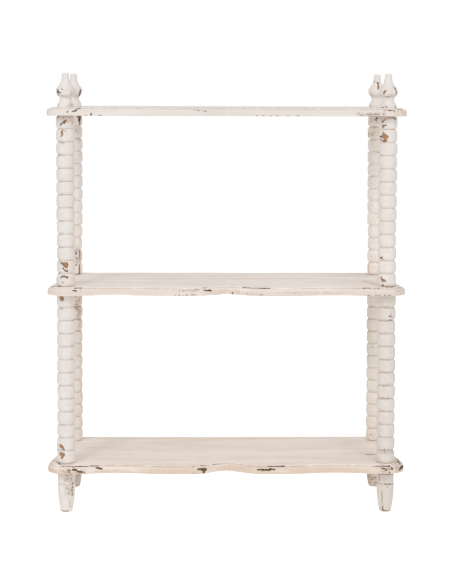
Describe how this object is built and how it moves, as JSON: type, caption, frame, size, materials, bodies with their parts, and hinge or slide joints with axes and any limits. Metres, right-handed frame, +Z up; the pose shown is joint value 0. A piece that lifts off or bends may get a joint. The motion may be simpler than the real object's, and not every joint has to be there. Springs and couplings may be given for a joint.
{
  "type": "low shelf",
  "caption": "Low open shelf with scalloped boards on bobbin-turned posts, turned feet and finials, in chipped cream paint.",
  "frame": {"origin": "middle of the floor under the shelf, level with the undersides of the four feet", "axes": "+Z up, -Y towards the scalloped front, +X to the viewer's right when facing the front"},
  "size_m": [0.8, 0.3, 0.984],
  "materials": {
    "board_paint": "distressed cream paint over brown wood, worn at the moulded edge",
    "post_paint": "distressed off-white paint over turned wood, chipped on the beads",
    "foot_paint": "distressed off-white paint with fine cracks",
    "finial_paint": "distressed off-white paint, chipped round the belly",
    "bolt_steel": "zinc-plated steel",
    "insert_brass": "plain brass"
  },
  "bodies": {
    "root": {"foot_front_left": "foot_paint", "foot_front_right": "foot_paint", "foot_rear_left": "foot_paint", "foot_rear_right": "foot_paint", "lower_post_front_left": "post_paint", "lower_post_front_right": "post_paint", "lower_post_rear_left": "post_paint", "lower_post_rear_right": "post_paint", "upper_post_front_left": "post_paint", "upper_post_front_right": "post_paint", "upper_post_rear_left": "post_paint", "upper_post_rear_right": "post_paint", "finial_front_left": "finial_paint", "finial_front_right": "finial_paint", "finial_rear_left": "finial_paint", "finial_rear_right": "finial_paint", "bottom_shelf": "board_paint", "middle_shelf": "board_paint", "top_shelf": "board_paint", "bottom_hanger_bolts": "bolt_steel", "middle_hanger_bolts": "bolt_steel", "top_hanger_bolts": "bolt_steel", "bottom_threaded_inserts": "insert_brass", "middle_threaded_inserts": "insert_brass", "top_threaded_inserts": "insert_brass"}
  },
  "joints": []
}
